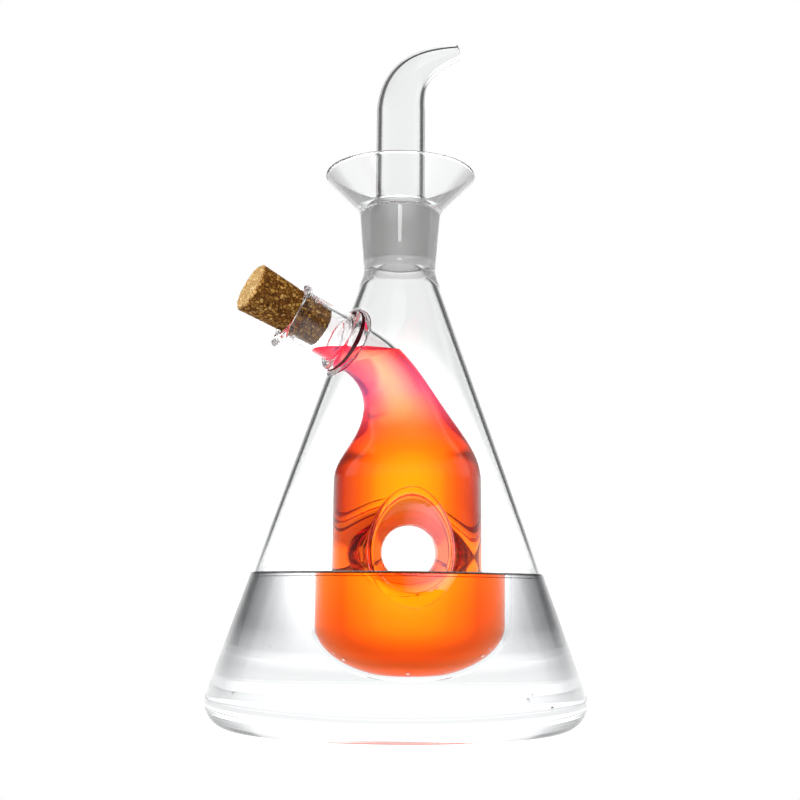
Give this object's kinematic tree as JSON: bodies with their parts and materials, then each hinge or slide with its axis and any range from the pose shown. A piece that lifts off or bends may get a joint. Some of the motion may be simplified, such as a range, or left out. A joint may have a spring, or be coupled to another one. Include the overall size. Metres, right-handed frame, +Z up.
{
  "type": "oil and vinegar bottle",
  "caption": "Conical glass oil flask with a vinegar vessel hung inside from a corked side neck, and a ground pouring spout standing in a drip funnel.",
  "frame": {"origin": "on the flask's axis, on the table under the base", "axes": "+Z up along the flask's axis, +X towards the spout's tip, -Y towards the viewer; the side neck points to -X and 28 degrees towards -Y"},
  "size_m": [0.121, 0.121, 0.2296],
  "materials": {
    "clear_glass": "clear, fire-polished",
    "ground_glass": "ground, frosted",
    "cork": "agglomerated cork, raw",
    "clear_liquid": "clear liquid",
    "orange_liquid": "clear orange-red liquid"
  },
  "bodies": {
    "flask": {"flask_body": "clear_glass", "neck_socket": "ground_glass", "drip_funnel": "clear_glass", "vinegar_vessel": "clear_glass", "ring_seal": "clear_glass", "side_neck": "clear_glass", "oil_fill": "clear_liquid", "vinegar_fill": "orange_liquid"},
    "stopper": {"stopper_cone": "ground_glass"},
    "spout": {"pour_tube": "clear_glass"},
    "cork": {"cork": "cork"}
  },
  "joints": [
    {"name": "spout_lift", "type": "slide", "parent": "flask", "child": "stopper", "axis": [0, 0, 1], "range_m": [0, 0.045]},
    {"name": "spout_turn", "type": "hinge", "parent": "stopper", "child": "spout", "pos_m": [0, 0, 0.1736], "axis": [0, 0, 1], "continuous": true},
    {"name": "cork_pull", "type": "slide", "parent": "flask", "child": "cork", "axis": [-0.8128, -0.4322, 0.3907], "range_m": [0, 0.025]}
  ]
}
